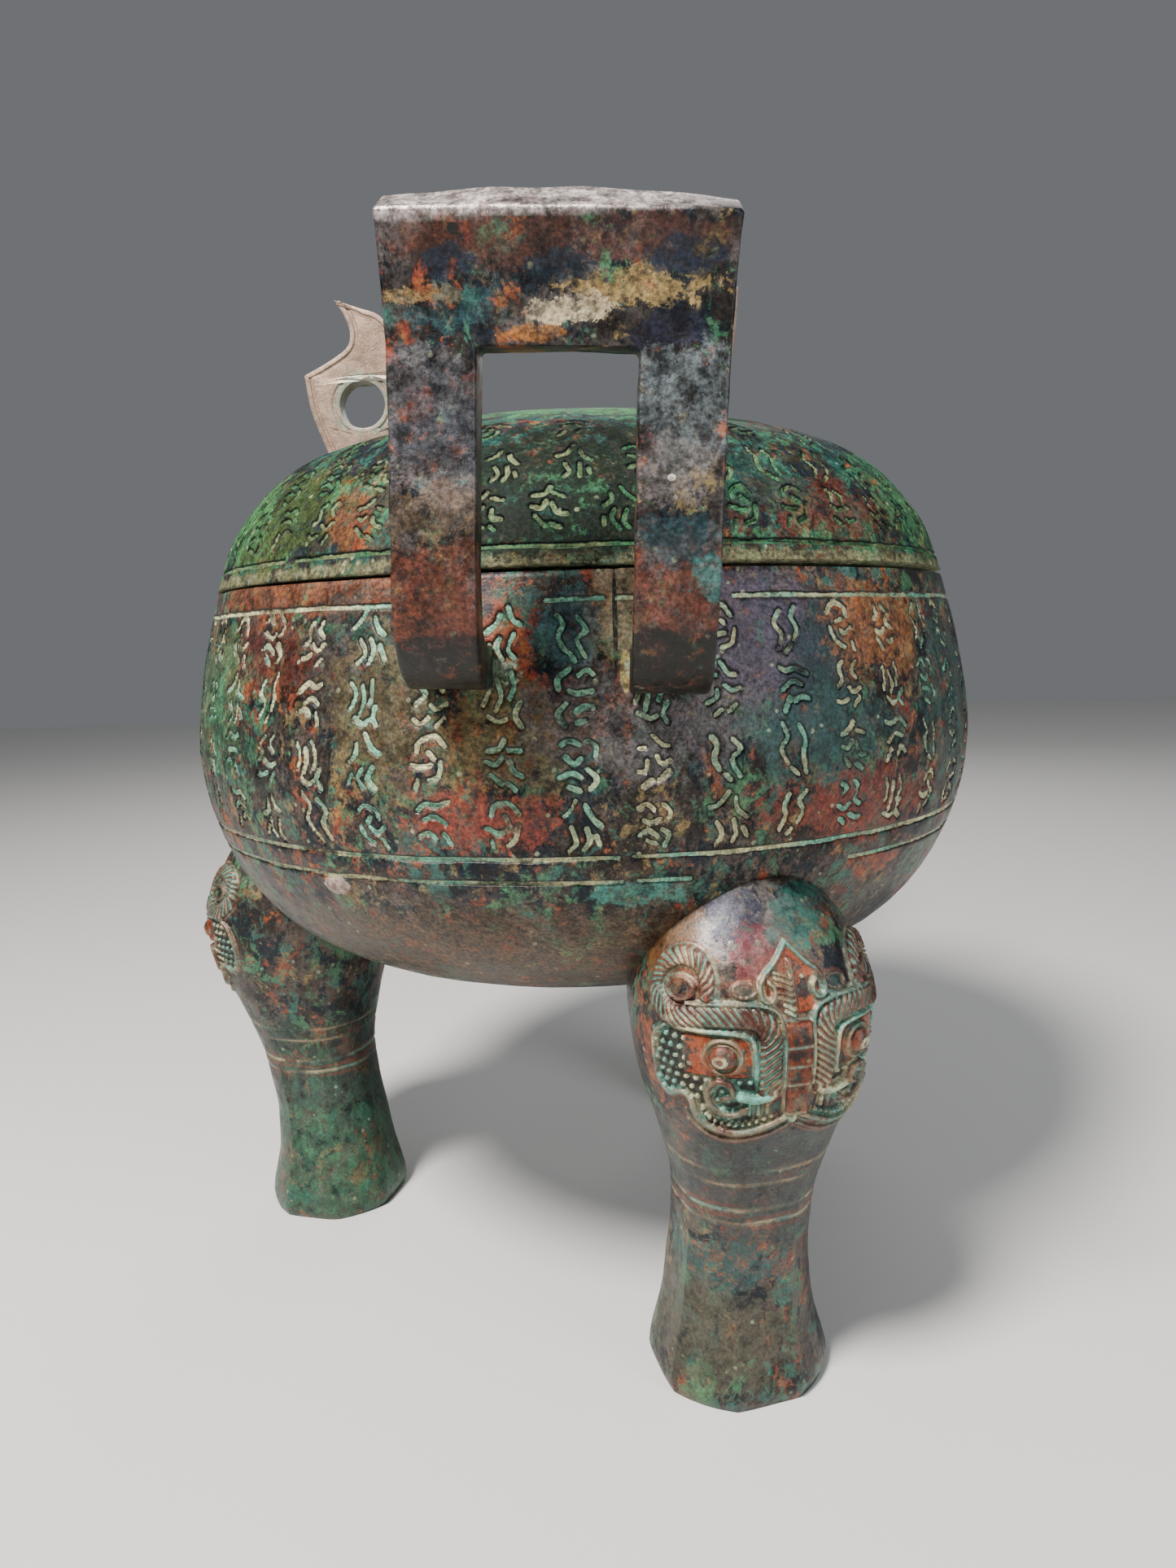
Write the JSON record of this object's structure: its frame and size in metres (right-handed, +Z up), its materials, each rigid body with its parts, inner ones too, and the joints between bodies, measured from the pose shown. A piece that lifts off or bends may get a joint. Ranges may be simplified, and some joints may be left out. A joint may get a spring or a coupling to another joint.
{
  "type": "ding vessel",
  "caption": "Ancient cast-bronze cauldron: a round bowl on animal-mask hoof legs, with upright bent handles and a domed lid with ring-and-horn knobs.",
  "frame": {"origin": "middle of the bounding box at the ground the feet stand on", "axes": "+Z up; the two handles stand at -Y and +Y; -Y is the side the picture shows"},
  "size_m": [0.2106, 0.2538, 0.253],
  "materials": {
    "vessel_bronze": "mottled brown, red and blue-green patina",
    "lid_bronze": "mottled green and brown patina"
  },
  "bodies": {
    "root": {"vessel": "vessel_bronze", "lid": "lid_bronze"}
  },
  "joints": []
}
